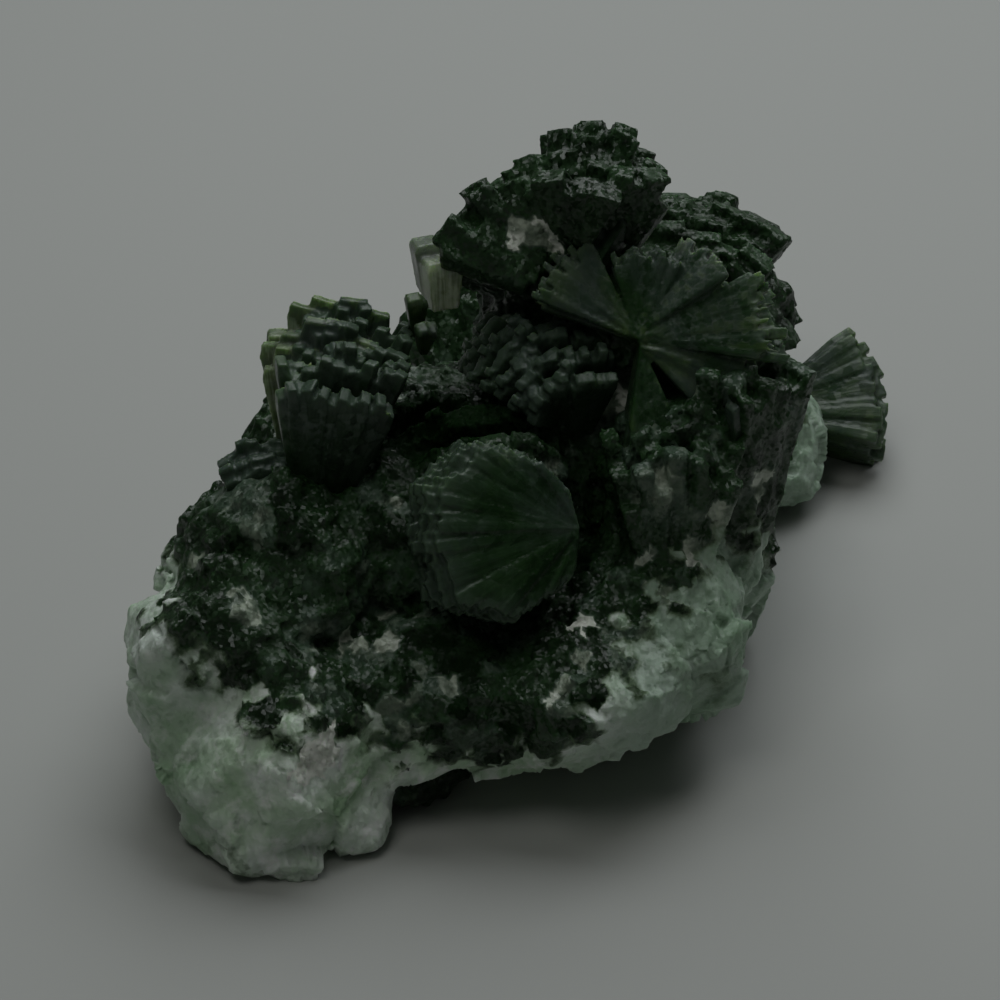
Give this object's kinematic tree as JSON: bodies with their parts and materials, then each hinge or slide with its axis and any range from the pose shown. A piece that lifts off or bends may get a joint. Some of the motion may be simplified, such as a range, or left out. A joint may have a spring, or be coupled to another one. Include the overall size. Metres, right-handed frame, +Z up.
{
  "type": "rough prehnite specimen",
  "caption": "Free-standing rough mineral specimen: a pale fractured root under a dark green crust of tabular crystals in fans, rosettes and blocky clusters.",
  "frame": {"origin": "middle of the specimen's box, on the surface that it rests on", "axes": "+Z up, +X along the specimen's length from its pale front lobe to its far green fan"},
  "size_m": [0.0735, 0.0409, 0.0405],
  "materials": {
    "green_crystal": "dark bottle-green crystals, glossy on their flat faces, slightly see-through at thin edges",
    "pale_root": "pale green to white fractured mineral, satin, slightly translucent"
  },
  "bodies": {
    "root": {"prehnite": "green_crystal"}
  },
  "joints": []
}
